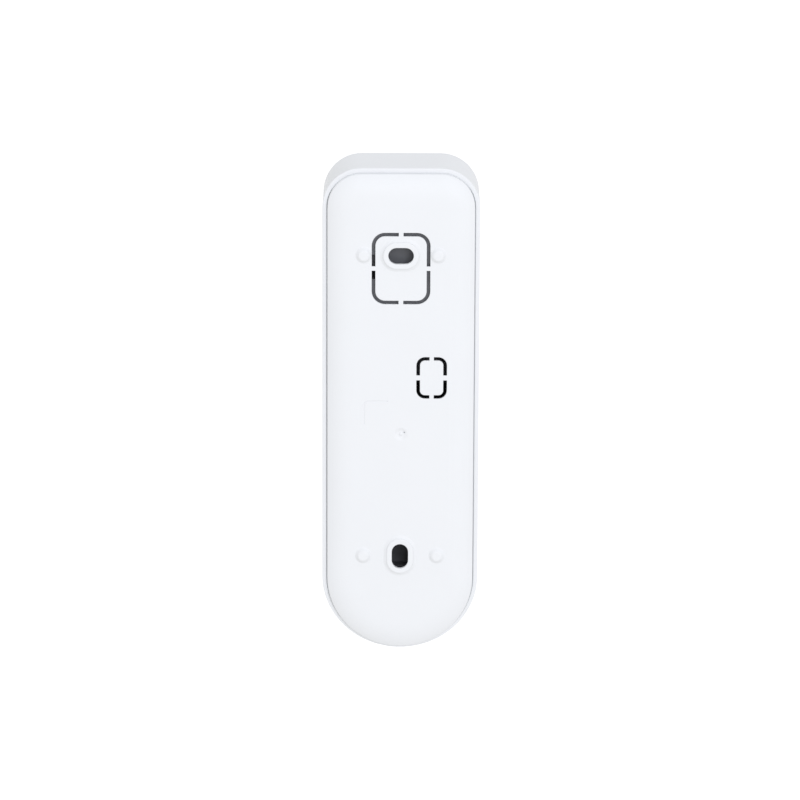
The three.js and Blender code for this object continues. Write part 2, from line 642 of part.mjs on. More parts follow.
const speaker = section(0, 0, SPEAKER_Z);
part(speaker, 'speaker_mesh', disc(9.6, -25.9, -26.1, 0, 0, LARGE_ROUND), MATERIALS.cloth);
part(speaker, 'speaker_frame', turned([
  [8.9, -25.6], [10, -25.6], [10, -21.9], [6.1, -21.9], [6.1, -22.9], [8.9, -22.9], [8.9, -25.6],
], LARGE_ROUND), MATERIALS.blackPlastic);
part(speaker, 'speaker_diaphragm', turned([
  [0, -25.3], [2.4, -25], [3.4, -24.5], [8.5, -25.2], [8.5, -24.9], [3.4, -24.2], [2.2, -24.7], [0, -25],
]), MATERIALS.cloth);
part(speaker, 'speaker_magnet', turned([
  [0, -23.8], [5.7, -23.8], [5.7, -21.2], [5.2, BOARD_FRONT_Y - GAP], [0, BOARD_FRONT_Y - GAP],
]), MATERIALS.steel);

// ---------------------------------------------------------------- push button

const button = section(0, 0, BUTTON_Z);
part(button, 'button_light_ring', turned([
  [12.7, -28.7], [13, -29], [14, -29], [14.3, -28.7], [14.3, -26.1], [15.6, -26.1], [15.6, -25.2], [12.7, -25.2],
  [12.7, -28.7],
], LARGE_ROUND), MATERIALS.diffuser);
part(button, 'button_cap', turned([
  [0, -28.8], [5, -28.85], [9, -29], [11.4, -29.2], [12.1, -29], [12.3, -28.5], [12.3, -24.9], [13.6, -24.9],
  [13.6, -24.1], [11, -24.1], [11, -27.4], [2.2, -27.4], [2.2, -24.6], [0, -24.6],
], LARGE_ROUND), MATERIALS.white);
part(button, 'button_return_pad', tube(7.6, 5, -21.8, -27.1), MATERIALS.silicone);
part(button, 'button_switch', cut(
  onBoard(-1, 6.2, 6.2, 2.3), disc(1.9, -21.3, -25, 0, 0, SMALL_ROUND),
), MATERIALS.blackPlastic);
part(button, 'switch_plunger', turned([
  [0, -24], [1.2, -24], [1.5, -23.7], [1.5, -21.9], [0, -21.9],
], SMALL_ROUND), MATERIALS.ceramic);
const STATUS_LED_RADIUS = 11;
for (let k = 0; k < 4; k++) {
  const a = (k + 0.5) * Math.PI / 2;
  part(button, `status_led_${k + 1}`, onBoard(-1, 1.6, 1.6, 0.9), MATERIALS.ceramic,
    STATUS_LED_RADIUS * Math.cos(a), 0, STATUS_LED_RADIUS * Math.sin(a));
}

export default doorbell;
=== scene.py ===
"""Looks of a slim video doorbell on its snap-in mounting plate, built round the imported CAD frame.

Shapes are drawn in millimetres in the CAD's own frame: X to the right seen from the front, the front
faces -Y, the wall is Y = 0, Z is up. Meshes are scaled to metres once, when they are made.
"""

import json
import math

import bmesh
import bpy
import numpy as np
from mathutils import Matrix, Quaternion, Vector, geometry


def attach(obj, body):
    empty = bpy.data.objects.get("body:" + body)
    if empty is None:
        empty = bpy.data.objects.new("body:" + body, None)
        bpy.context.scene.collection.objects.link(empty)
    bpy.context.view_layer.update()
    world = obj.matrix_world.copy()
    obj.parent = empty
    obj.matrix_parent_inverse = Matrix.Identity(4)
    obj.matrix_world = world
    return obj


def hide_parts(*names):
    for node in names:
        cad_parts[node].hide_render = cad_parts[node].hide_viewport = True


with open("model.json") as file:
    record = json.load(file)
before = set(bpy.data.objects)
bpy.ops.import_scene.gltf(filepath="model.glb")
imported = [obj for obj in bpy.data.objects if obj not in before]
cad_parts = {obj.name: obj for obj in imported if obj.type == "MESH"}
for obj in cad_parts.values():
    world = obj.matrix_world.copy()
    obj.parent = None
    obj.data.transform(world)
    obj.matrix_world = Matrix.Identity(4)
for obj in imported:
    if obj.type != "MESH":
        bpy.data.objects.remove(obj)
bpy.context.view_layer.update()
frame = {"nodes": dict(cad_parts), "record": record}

# ---------------------------------------------------------------- driving dimensions, in millimetres

MM = 0.001
WIDTH = 44
HEIGHT = 139.2
TOP_CORNER = 11
END_HEIGHT = 21
END_SPREAD = 0.7        # at the bottom end the rim tapers, and every outline inside it drops by this

PLATE_BACK_Y = -1
PLATE_INNER_Y = -2.8
RIM_Y = -4.6
PLATE_EDGE_Y = -8
FRONT_INNER_Y = -26.4
FRONT_Y = -29

LIP = 1.1
LIP_FOOT = 1.39         # the lip's inner side leans in to here, close to the plate's skirt
LIP_LEAN = 0.6          # how far the lip's inner side falls from its rim to its foot
LIP_LEAN_LOSS = 0.45    # how much less it falls at the top end, coming in between these two heights
LIP_LEAN_FADE = (60, 66)
REBATE_Y = -8.3
LEDGE_BACK_Y = -12.0
LEDGE_FRONT_Y = -13.5
SEAM = 0.3
WALL = 2.4
LEDGE_INSET = 4
PLATE_INSET = LIP + SEAM
PLATE_SKIRT = 1.6
PLATE_ROUNDING = 8.5
PLATE_CROWN = 2.3
FRONT_ROUNDING = 3.2
STEP = 0.012            # horizontal run of a wall that stands straight up from a relief
EDGE = 0.14             # radius of the small rounded edges round openings
EDGE_STEPS = (0.03, 0.08, EDGE)
SHARP_ANGLE = 35        # degrees, above which an edge is shown sharp

SLOT_LENGTH = 7.1
SLOT_WIDTH = 4.6
UPPER_SLOT_Z = 45.6
LOWER_SLOT_Z = -41.4
BOSS_RIM = 1.5
PAD_X = 10.4
RING_THICKNESS = 0.6
UPPER_RING = {"width": 16.34, "height": 20.4, "radius": 3.7, "bridges": (1.35, 1.25), "x": 0, "z": 41.8}
LOWER_RING = {"width": 8.55, "height": 12, "radius": 2.4, "bridges": (1.25, 1.4), "x": -8.7, "z": 10.4}
GROOVE = 1
TRACK_SPREAD = 0.7

WINDOW = {"width": 32, "height": 34, "radius": 6, "z": 46.5}
WINDOW_OPENING = {"width": 28.8, "height": 30.8, "radius": 4.4}
WINDOW_GAP = 0.3        # between the window and the side of its seat
WINDOW_SEAT_DEPTH = 1.8
WINDOW_THICKNESS = 1.5
CAMERA_Z = 52
CAMERA_HOLE = 7.7
PIR_Z = 17
PIR_HOLE = 7.3
MICROPHONE_Z = 5
MICROPHONE_HOLE = 0.7
SPEAKER_Z = -12
SPEAKER_SLOT_WIDTH = 1.4
BUTTON_Z = -46
BUTTON_HOLE = 14.6
LOCK_SCREW_Y = -14.6
LOCK_TAB_Z = -55.4
TAMPER = (2, 37)
SPEAKER_SLOTS = [(-6, 7), (-3, 11), (0, 12.4), (3, 11), (6, 7)]
HOUSING_SCREWS = [(-15.6, 55), (15.6, 55), (-15.6, -27), (15.6, -27)]
BOARD_SCREWS = [(9.8, 26.8), (-9.8, -26.3)]
SCREW_BOSSES = [        # places, boss radius, Y of its top, bore radius, Y of its floor
    (HOUSING_SCREWS, 2.5, -10.5, 1.4, -20.5),
    (BOARD_SCREWS, 2.3, -20.9, 1.2, -25.5),
]

RIB_GROW = 0.3          # how much wider the rib is than the groove that it stands behind, on each side
RIB_BACK_Y = -2.5
RIB_FRONT_Y = -4.9
RIB_GAP_Z = (38.5, 45.4)

# ---------------------------------------------------------------- flat outlines, as arrays of (x, z)


def arc(x, z, rx, rz, start, end, steps):
    """Points along part of an ellipse, angles in quarter turns."""
    angles = np.linspace(start, end, steps + 1) * math.pi / 2
    return np.column_stack([x + rx * np.cos(angles), z + rz * np.sin(angles)])


def end_depth(inset):
    """Half-height of the half-ellipse at the bottom end of an outline."""
    return END_HEIGHT - inset + END_SPREAD * np.minimum(1, inset / PLATE_INSET)


def outline(inset, corner_steps=12, end_steps=64):
    """The body's outline moved inwards.

    It has rounded top corners, straight sides and half an ellipse at the bottom.
    """
    x = WIDTH / 2 - TOP_CORNER
    z = HEIGHT / 2 - TOP_CORNER
    radius = TOP_CORNER - inset
    return np.vstack([
        arc(x, z, radius, radius, 0, 1, corner_steps),
        arc(-x, z, radius, radius, 1, 2, corner_steps),
        arc(0, END_HEIGHT - HEIGHT / 2, WIDTH / 2 - inset, end_depth(inset), 2, 4, end_steps),
    ])


def rounded(width, height, radius, x=0, z=0, steps=8):
    """A rectangle with rounded corners."""
    w = width / 2 - radius
    h = height / 2 - radius
    corners = [(w, h), (-w, h), (-w, -h), (w, -h)]
    return np.vstack([
        arc(x + cx, z + cz, radius, radius, k, k + 1, steps) for k, (cx, cz) in enumerate(corners)
    ])


def obround(width, height, x=0, z=0, steps=10):
    return rounded(width, height, min(width, height) / 2 - 1e-3, x, z, steps)


def ring_loop(ring, grow):
    """The outer line of a knock-out's groove, moved outwards by grow."""
    return rounded(
        ring["width"] + 2 * grow, ring["height"] + 2 * grow, ring["radius"] + grow, ring["x"], ring["z"])


def window_loop(grow):
    """The camera window's outline, moved outwards by grow."""
    return rounded(
        WINDOW["width"] + 2 * grow, WINDOW["height"] + 2 * grow, WINDOW["radius"] + grow,
        0, WINDOW["z"], 12)


def circle(radius, x=0, z=0, steps=48):
    return arc(x, z, radius, radius, 0, 4, steps)[:-1]


def groove_parts(ring, grow=0):
    """The four open stretches of a knock-out groove between its bridges, each made larger by grow."""
    w = ring["width"] / 2 + grow
    h = ring["height"] / 2 + grow
    radius = ring["radius"] + grow
    groove = GROOVE + 2 * grow
    top = ring["bridges"][0] / 2 - grow
    side = ring["bridges"][1] / 2 - grow
    parts = []
    for sx, sz in [(1, 1), (-1, 1), (-1, -1), (1, -1)]:
        outer = arc(w - radius, h - radius, radius, radius, 0, 1, 8)
        inner = arc(w - radius, h - radius, radius - groove, radius - groove, 1, 0, 8)
        quarter = np.vstack([
            [(w, side)], outer, [(top, h), (top, h - groove)], inner, [(w - groove, side)],
        ])
        parts.append(quarter * (sx, sz) + (ring["x"], ring["z"]))
    return parts


def inside(points, loop):
    """True for each point that lies within a closed loop."""
    found = np.zeros(len(points), bool)
    x, z = points.T
    for (x1, z1), (x2, z2) in zip(np.roll(loop, 1, axis=0), loop):
        crosses = (z1 > z) != (z2 > z)
        if z1 != z2:
            found ^= crosses & (x < x1 + (z - z1) * (x2 - x1) / (z2 - z1))
    return found


def signed(points, loop):
    """Distance from each point to a closed loop, negative within it."""
    nearest = np.full(len(points), 1e9)
    for a, b in zip(np.roll(loop, 1, axis=0), loop):
        along = b - a
        length = along @ along
        if length > 1e-12:
            share = np.clip((points - a) @ along / length, 0, 1)
            nearest = np.minimum(nearest, np.linalg.norm(points - a - share[:, None] * along, axis=1))
    return np.where(inside(points, loop), -nearest, nearest)


def inset_of(points):
    """How far in from the body's outline each point lies."""
    x = np.abs(points[:, 0])
    z = points[:, 1]
    low = np.full(len(points), -0.5)
    high = np.full(len(points), END_HEIGHT - 0.01)
    down = z - (END_HEIGHT - HEIGHT / 2)
    for _ in range(40):
        middle = (low + high) / 2
        within = (x / (WIDTH / 2 - middle)) ** 2 + (down / end_depth(middle)) ** 2 < 1
        low = np.where(within, middle, low)
        high = np.where(within, high, middle)
    sides = np.minimum(WIDTH / 2 - x, HEIGHT / 2 - z)
    cx = x - (WIDTH / 2 - TOP_CORNER)
    cz = z - (HEIGHT / 2 - TOP_CORNER)
    corner = TOP_CORNER - np.hypot(cx, cz)
    return np.where(down < 0, low, np.where((cx > 0) & (cz > 0), corner, sides))


# ---------------------------------------------------------------- meshes


def linked(name, data):
    """A new object in the scene."""
    made = bpy.data.objects.new(name, data)
    bpy.context.scene.collection.objects.link(made)
    return made


def shaded(name, bm, weighted=True):
    """A finished object from a bmesh drawn in millimetres, smooth apart from its sharp edges."""
    bmesh.ops.recalc_face_normals(bm, faces=bm.faces)
    mesh = bpy.data.meshes.new(name)
    bm.to_mesh(mesh)
    bm.free()
    mesh.transform(Matrix.Scale(MM, 4))
    mesh.shade_smooth()
    mesh.set_sharp_from_angle(angle=math.radians(SHARP_ANGLE))
    made = linked(name, mesh)
    if weighted:
        made.modifiers.new("weighted", "WEIGHTED_NORMAL").keep_sharp = True
    return made


def relief_mesh(loops, holes, back, front):
    """A closed solid between two heights. Each loop is a line along which a height changes slope.

    back and front give the Y of the two faces at an array of (x, z) points.
    """
    points = []
    edges = []
    for loop in [*loops, *holes]:
        first = len(points)
        points.extend(map(Vector, loop.tolist()))
        edges.extend((first + k, first + (k + 1) % len(loop)) for k in range(len(loop)))
    flat, _, triangles, *_ = geometry.delaunay_2d_cdt(points, edges, [], 0, 1e-5)
    flat = np.array([tuple(p) for p in flat])
    triangles = np.array([t for t in triangles if len(t) == 3])
    centres = flat[triangles].mean(axis=1)
    keep = np.ones(len(triangles), bool)
    for hole in holes:
        keep &= ~inside(centres, hole)
    triangles = triangles[keep]
    a, b, c = (flat[triangles[:, k]] for k in range(3))
    turn = (b[:, 0] - a[:, 0]) * (c[:, 1] - a[:, 1]) - (b[:, 1] - a[:, 1]) * (c[:, 0] - a[:, 0])
    triangles = np.where((turn < 0)[:, None], triangles[:, ::-1], triangles)
    used = np.unique(triangles)
    index = {int(v): k for k, v in enumerate(used)}
    flat = flat[used]
    bm = bmesh.new()
    layers = [
        [bm.verts.new((x, y, z)) for (x, z), y in zip(flat, height(flat))] for height in (back, front)
    ]
    sides = {}
    for triangle in triangles.tolist():
        corner = [index[v] for v in triangle]
        bm.faces.new([layers[0][v] for v in reversed(corner)])
        bm.faces.new([layers[1][v] for v in corner])
        for p, q in zip(corner, corner[1:] + corner[:1]):
            sides[(p, q)] = (q, p) not in sides
            if not sides[(p, q)]:
                sides[(q, p)] = False
    for (p, q), open_side in sides.items():
        if open_side:
            bm.faces.new([layers[0][p], layers[0][q], layers[1][q], layers[1][p]])
    return bm


def level(y):
    """A flat face at one Y, as relief_mesh takes it."""
    return lambda points: np.full(len(points), y)


def soften(profile, radius, steps=3):
    """A closed profile of (r, y) with each corner off the axis rounded."""
    count = len(profile)
    result = []
    for k, point in enumerate(profile):
        before = Vector(profile[k - 1]) - Vector(point)
        after = Vector(profile[(k + 1) % count]) - Vector(point)
        if point[0] < 1e-6 or before.length < 1e-6 or after.length < 1e-6:
            result.append(tuple(point))
            continue
        reach = min(radius, before.length * 0.45, after.length * 0.45)
        start = Vector(point) + before.normalized() * reach
        end = Vector(point) + after.normalized() * reach
        for s in range(steps + 1):
            t = s / steps
            mixed = start * (1 - t) ** 2 + Vector(point) * 2 * t * (1 - t) + end * t ** 2
            result.append(tuple(mixed))
    return result


def revolve_mesh(profile, steps=64, radius=0.15):
    """A closed solid of revolution about Y.

    The profile of (r, y) pairs is a loop, or a line from axis to axis.
    """
    bm = bmesh.new()
    soft = soften(profile, radius)
    rings = []
    for r, y in soft:
        if r < 1e-6:
            rings.append([bm.verts.new((0, y, 0))] * steps)
        else:
            angles = np.arange(steps) * 2 * math.pi / steps
            rings.append([bm.verts.new((r * math.cos(a), y, r * math.sin(a))) for a in angles])
    for ring, following in zip(rings, rings[1:] + rings[:1]):
        for k in range(steps):
            n = (k + 1) % steps
            quad = [ring[k], ring[n], following[n], following[k]]
            corners = list(dict.fromkeys(quad))
            if len(corners) > 2:
                bm.faces.new(corners)
    return bm


def box_mesh(x, y, z, bevel=0.15):
    """A box from its limits on each axis, with rounded edges."""
    bm = bmesh.new()
    bmesh.ops.create_cube(bm, size=1)
    bmesh.ops.scale(bm, vec=(x[1] - x[0], y[1] - y[0], z[1] - z[0]), verts=bm.verts)
    bmesh.ops.translate(bm, vec=(sum(x) / 2, sum(y) / 2, sum(z) / 2), verts=bm.verts)
    if bevel:
        bmesh.ops.bevel(
            bm, geom=bm.edges[:], offset=bevel, segments=3, profile=0.5, affect="EDGES",
            clamp_overlap=True)
    return bm


def along_z(bm, y, z):
    """Turns a solid of revolution about Y into one about Z at (y, z): its +Y end points up."""
    quarter_turn = Matrix.Rotation(math.pi / 2, 3, "X")
    bmesh.ops.rotate(bm, cent=(0, 0, 0), matrix=quarter_turn, verts=bm.verts)
    bmesh.ops.translate(bm, vec=(0, y, z), verts=bm.verts)
    return bm


def carve(target, *cutters):
    """Cuts each cutter's mesh out of the target for good."""
    for cutter in cutters:
        tool = shaded("cutter", cutter, weighted=False)
        modifier = target.modifiers.new("carve", "BOOLEAN")
        modifier.operation = "DIFFERENCE"
        modifier.solver = "EXACT"
        modifier.object = tool
        while target.modifiers[0] != modifier:
            target.modifiers.move(len(target.modifiers) - 1, 0)
        dg = bpy.context.evaluated_depsgraph_get()
        shown = [m.show_viewport for m in target.modifiers]
        for m in target.modifiers:
            m.show_viewport = m == modifier
        dg.update()
        mesh = bpy.data.meshes.new_from_object(target.evaluated_get(dg), depsgraph=dg)
        for m, state in zip(target.modifiers, shown):
            m.show_viewport = state
        target.modifiers.remove(modifier)
        target.data = mesh
        bpy.data.objects.remove(tool)
    target.data.set_sharp_from_angle(angle=math.radians(SHARP_ANGLE))
    return target


# ---------------------------------------------------------------- materials


def tree(name):
    made = bpy.data.materials.new(name)
    made.use_nodes = True
    nodes = made.node_tree.nodes
    return made, nodes, made.node_tree.links, nodes["Principled BSDF"]


def noise(nodes, links, scale, detail=2, stretch=(1, 1, 1)):
    place = nodes.new("ShaderNodeTexCoord")
    mapping = nodes.new("ShaderNodeMapping")
    mapping.inputs["Scale"].default_value = stretch
    texture = nodes.new("ShaderNodeTexNoise")
    texture.inputs["Scale"].default_value = scale
    texture.inputs["Detail"].default_value = detail
    links.new(place.outputs["Object"], mapping.inputs["Vector"])
    links.new(mapping.outputs["Vector"], texture.inputs["Vector"])
    return texture.outputs["Fac"]


def ramp(nodes, links, value, low, high, start=0.3, end=0.7):
    """Maps a value between start and end to a grey or a colour between low and high."""
    node = nodes.new("ShaderNodeValToRGB")
    for element, place, tone in zip(node.color_ramp.elements, (start, end), (low, high)):
        element.position = place
        element.color = (*tone, 1) if isinstance(tone, tuple) else (tone, tone, tone, 1)
    links.new(value, node.inputs["Fac"])
    return node.outputs["Color"]


def surface(name, colour, rough, grain=3000, bump=0.02, spread=0.03, stretch=(1, 1, 1), **sockets):
    """A moulded, cast or turned material: fine grain, soft colour variation and uneven gloss."""
    made, nodes, links, shader = tree(name)
    broad = noise(nodes, links, 60, 3)
    fine = noise(nodes, links, grain, 3, stretch)
    dark = tuple(c * (1 - spread) for c in colour)
    light = tuple(min(1, c * (1 + spread)) for c in colour)
    links.new(ramp(nodes, links, broad, dark, light), shader.inputs["Base Color"])
    links.new(ramp(nodes, links, fine, rough * 0.88, min(1, rough * 1.12)), shader.inputs["Roughness"])
    relief = nodes.new("ShaderNodeBump")
    relief.inputs["Strength"].default_value = 1
    relief.inputs["Distance"].default_value = bump * MM
    links.new(fine, relief.inputs["Height"])
    links.new(relief.outputs["Normal"], shader.inputs["Normal"])
    for socket, value in sockets.items():
        shader.inputs[socket.replace("_", " ")].default_value = value
    return made


MATERIALS = {
    "white_shell": surface("white_shell", (0.79, 0.802, 0.815), 0.55, 5000, 0.012, 0.006),
    "dark_housing": surface("dark_housing", (0.135, 0.139, 0.15), 0.45, 4200, 0.02, 0.05),
    "gloss_window": surface(
        "gloss_window", (0.005, 0.005, 0.007), 0.05, 900, 0.001, 0.1, Specular_IOR_Level=0.22),
    "black_plastic": surface(
        "black_plastic", (0.012, 0.012, 0.014), 0.5, 4200, 0.015, 0.06, Specular_IOR_Level=0.25),
    "clear_glass": surface(
        "clear_glass", (0.90, 0.95, 0.98), 0.03, 900, 0.001, 0.01, Transmission_Weight=1.0, IOR=1.25),
    "coated_lens": surface(
        "coated_lens", (0.015, 0.02, 0.06), 0.03, 900, 0.001, 0.3, Coat_Weight=1.0,
        Coat_Tint=(0.55, 0.45, 1.0, 1)),
    "sensor_die": surface("sensor_die", (0.05, 0.08, 0.09), 0.15, 9000, 0.002, 0.3, Coat_Weight=0.5),
    "diffuser": surface(
        "diffuser", (0.72, 0.76, 0.79), 0.35, 3500, 0.01, 0.01, Transmission_Weight=0.12,
        Subsurface_Weight=0.2, Subsurface_Scale=0.002),
    "fresnel_lens": surface(
        "fresnel_lens", (0.74, 0.75, 0.76), 0.3, 3500, 0.01, 0.01, Subsurface_Weight=0.3,
        Subsurface_Scale=0.002),
    "black_rubber": surface("black_rubber", (0.018, 0.018, 0.02), 0.75, 5000, 0.03, 0.1),
    "silicone": surface(
        "silicone", (0.55, 0.56, 0.58), 0.6, 4000, 0.02, 0.02, Subsurface_Weight=0.2,
        Subsurface_Scale=0.001),
    "circuit_board": surface(
        "circuit_board", (0.015, 0.10, 0.045), 0.4, 2600, 0.03, 0.25, Coat_Weight=0.3),
    "chip_epoxy": surface("chip_epoxy", (0.02, 0.02, 0.022), 0.4, 6000, 0.02, 0.1),
    "led_package": surface("led_package", (0.75, 0.70, 0.48), 0.35, 5000, 0.01, 0.05),
    "steel": surface("steel", (0.60, 0.61, 0.63), 0.3, 2200, 0.006, 0.04, (1, 6, 1), Metallic=1.0),
    "brass": surface("brass", (0.72, 0.52, 0.22), 0.3, 2200, 0.006, 0.06, (1, 6, 1), Metallic=1.0),
    "flex_circuit": surface("flex_circuit", (0.45, 0.17, 0.04), 0.35, 2500, 0.01, 0.12, Coat_Weight=0.3),
    "acoustic_cloth": surface("acoustic_cloth", (0.012, 0.012, 0.013), 0.9, 3800, 0.06, 0.3),
}


def finish(piece, slot, body="housing", replaces=()):
    """Gives a new piece its material and its body, and hides the CAD nodes that it stands for."""
    piece.data.materials.clear()
    piece.data.materials.append(MATERIALS[slot])
    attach(piece, body)
    if replaces:
        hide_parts(*replaces)
    return piece


# ---------------------------------------------------------------- mounting plate


def edge_drop(distance, radius):
    """How far a rounded edge falls below its flat, at a distance in from the edge."""
    short = np.clip(radius - distance, 0, radius)
    return radius - np.sqrt(radius ** 2 - short ** 2)


def blend(value, start, end):
    """Smooth step from 0 at start to 1 at end."""
    t = np.clip((value - start) / (end - start), 0, 1)
    return t * t * (3 - 2 * t)


SCREW_SEATS = [(2, -1.6), (1, -1.1)]      # how much wider than a slot its seats are, and their Y
SLOTS = [
    (SLOT_LENGTH, SLOT_WIDTH, UPPER_SLOT_Z),
    (SLOT_WIDTH, SLOT_LENGTH, LOWER_SLOT_Z),
]
PADS = [(side * PAD_X, z) for z in (UPPER_SLOT_Z, LOWER_SLOT_Z) for side in (-1, 1)]
PLATE_EDGE_RADIUS = 0.25
CROWN_STEPS = [0.02, 0.06, 0.12, 0.18, 0.25, 0.7, 1.2, 1.8, 2.4, 3.1, 3.9, 4.8, 5.8, 7, PLATE_ROUNDING]
MARK = [(10.2, -3.0), (10.2, 2.55), (9.9, 3.25), (9.2, 3.55), (3.8, 3.55)]
MARK_DEPTH = 0.15
GATE = (-0.1, -5.9)     # middle of the injection dimple
DIMPLE_DEPTH = 0.42
PIP_HEIGHT = 0.22
SPECK = (-1.1, -5.48)
SPECK_DEPTH = 0.6


def boss_height(distance):
    """Height over the plate at a signed distance out from a slot boss's edge.

    The boss has a rounded top and a soft foot.
    """
    top = 1 - edge_drop(-distance, 0.3)
    side = 0.7 * (1 - np.clip(distance / 0.3, 0, 1))
    foot = 0.42 * (1 - blend(distance, 0.05, 0.95))
    return np.where(distance < 0, top, np.maximum(side, foot))


def pad_height(radius):
    """Height over the plate at a distance from the middle of a stand-off pad."""
    return 1 - blend(radius, 1.15, 2.45)


def mark_loop(grow):
    """Outline of the fine angled witness line left by a mould insert."""
    line = np.array(MARK)
    along = np.gradient(line, axis=0)
    across = np.column_stack([-along[:, 1], along[:, 0]])
    across /= np.linalg.norm(across, axis=1)[:, None]
    along /= np.linalg.norm(along, axis=1)[:, None]
    line[0] -= along[0] * grow
    line[-1] += along[-1] * grow
    return np.vstack([line + across * grow, (line - across * grow)[::-1]])


def plate_back(points):
    distance = inset_of(points) - PLATE_INSET
    share = 1 - np.clip(distance, 0, PLATE_ROUNDING) / PLATE_ROUNDING
    flat = PLATE_BACK_Y - PLATE_CROWN * share ** 3 - edge_drop(distance, PLATE_EDGE_RADIUS)
    y = flat.copy()
    for width, height, z in SLOTS:
        boss = signed(points, obround(width + 2 * BOSS_RIM, height + 2 * BOSS_RIM, 0, z))
        y = np.maximum(y, flat + boss_height(boss))
        y = y - edge_drop(np.abs(signed(points, obround(width, height, 0, z))), EDGE)
    for x, z in PADS:
        y = np.maximum(y, flat + pad_height(np.hypot(points[:, 0] - x, points[:, 1] - z)))
    for ring in (UPPER_RING, LOWER_RING):
        for part in groove_parts(ring):
            y = y - edge_drop(np.abs(signed(points, part)), EDGE)
    radius = np.hypot(points[:, 0] - GATE[0], points[:, 1] - GATE[1])
    y = y - DIMPLE_DEPTH * (1 - blend(radius, 0.8, 2.0))
    y = y + PIP_HEIGHT * (1 - blend(radius, 0.3, 0.62))
    speck = np.hypot(points[:, 0] - SPECK[0], points[:, 1] - SPECK[1])
    y = y - SPECK_DEPTH * (1 - blend(speck, 0.1, 0.24))
    return y - MARK_DEPTH * (1 - blend(signed(points, mark_loop(0.15)), -0.05, 0.12))


def plate_front(points):
    distance = inset_of(points) - PLATE_INSET
    y = np.where(distance < PLATE_SKIRT + STEP / 2, PLATE_EDGE_Y, PLATE_INNER_Y)
    for ring in (UPPER_RING, LOWER_RING):
        track = signed(points, ring_loop(ring, -GROOVE / 2))
        y = np.where(np.abs(track) < GROOVE / 2 + TRACK_SPREAD, PLATE_BACK_Y - RING_THICKNESS, y)
    for width, height, z in SLOTS:
        out = signed(points, obround(width, height, 0, z))
        for wider, seat in SCREW_SEATS:
            y = np.where(out < wider, seat, y)
    return y


def mounting_plate():
    loops = [outline(PLATE_INSET)]
    loops += [outline(PLATE_INSET + d) for d in CROWN_STEPS]
    loops += [outline(PLATE_INSET + PLATE_SKIRT + d) for d in (0, STEP)]
    holes = []
    for width, height, z in SLOTS:
        holes.append(obround(width, height, 0, z))
        for grow in (*EDGE_STEPS, 1 - STEP / 2, 1 + STEP / 2, 2 - STEP / 2, 2 + STEP / 2):
            loops.append(obround(width + 2 * grow, height + 2 * grow, 0, z))
        for grow in (-0.3, -0.15, -0.05, 0, 0.1, 0.2, 0.3, 0.45, 0.6, 0.8, 0.95):
            size = 2 * (BOSS_RIM + grow)
            loops.append(obround(width + size, height + size, 0, z, 12))
    for x, z in PADS:
        loops += [circle(r, x, z, 32) for r in (1.15, 1.3, 1.45, 1.6, 1.75, 1.9, 2.05, 2.2, 2.33, 2.45)]
    for ring in (UPPER_RING, LOWER_RING):
        holes += groove_parts(ring)
        for grow in EDGE_STEPS:
            loops += groove_parts(ring, grow)
        for side in (-1, 1):
            for run in (-STEP / 2, STEP / 2):
                grow = side * TRACK_SPREAD + run - (GROOVE if side < 0 else 0)
                loops.append(ring_loop(ring, grow))
    for r in (0.3, 0.4, 0.5, 0.62, 0.8, 1, 1.2, 1.4, 1.6, 1.8, 2):
        loops.append(circle(r, *GATE, 32))
    loops += [circle(r, *SPECK, 12) for r in (0.08, 0.16, 0.24)]
    loops += [mark_loop(g) for g in (0.08, 0.17, 0.27)]
    return relief_mesh(loops, holes, plate_back, plate_front)


finish(shaded("plate", mounting_plate()), "white_shell", "wall_plate", ["mounting_plate"])
TONGUE_Z = HEIGHT / 2 - PLATE_INSET
finish(
    shaded("plate_tongue", box_mesh((-12, 12), (-6.7, -5.5), (TONGUE_Z - 0.6, TONGUE_Z + 0.65), 0.2)),
    "white_shell", "wall_plate")
LOCK_HOLE = along_z(
    revolve_mesh([(0, -3), (1.5, -3), (1.5, 3), (0, 3)], 32, 0.01), LOCK_SCREW_Y, LOCK_TAB_Z)
LOCK_TAB = shaded("plate_lock_tab", box_mesh(
    (-4.5, 4.5), (-17.2, PLATE_INNER_Y + 0.3), (LOCK_TAB_Z - 1, LOCK_TAB_Z + 1), 0.3))
finish(carve(LOCK_TAB, LOCK_HOLE), "white_shell", "wall_plate")

# ---------------------------------------------------------------- front cover


def cover_back(points):
    distance = inset_of(points)
    lean = LIP_LEAN - LIP_LEAN_LOSS * blend(points[:, 1], *LIP_LEAN_FADE)
    y = RIM_Y - lean * np.interp(distance, [LIP, LIP_FOOT], [0, 1])
    y = np.where(distance > LIP_FOOT + STEP / 2, REBATE_Y, y)
    y = np.where(distance > WALL + STEP / 2, FRONT_INNER_Y, y)
    y = y - np.where(distance < LIP / 2, edge_drop(distance, 0.3), 0)
    for screws, radius, top, bore, bottom in SCREW_BOSSES:
        for x, z in screws:
            r = np.hypot(points[:, 0] - x, points[:, 1] - z)
            y = np.where(r < radius + STEP / 2, top, y)
            y = np.where(r < bore + STEP / 2, bottom, y)
    return y


def cover_front(points):
    distance = inset_of(points)
    y = FRONT_Y + edge_drop(distance, FRONT_ROUNDING)
    seat = signed(points, window_loop(WINDOW_GAP))
    rounded_y = y + np.where(seat < EDGE, edge_drop(np.abs(seat), EDGE), 0)
    y = np.where(seat < -STEP / 2, FRONT_Y + WINDOW_SEAT_DEPTH, rounded_y)
    for hole in cover_holes()[1:]:
        y = y + edge_drop(np.abs(signed(points, hole)), EDGE)
    return y


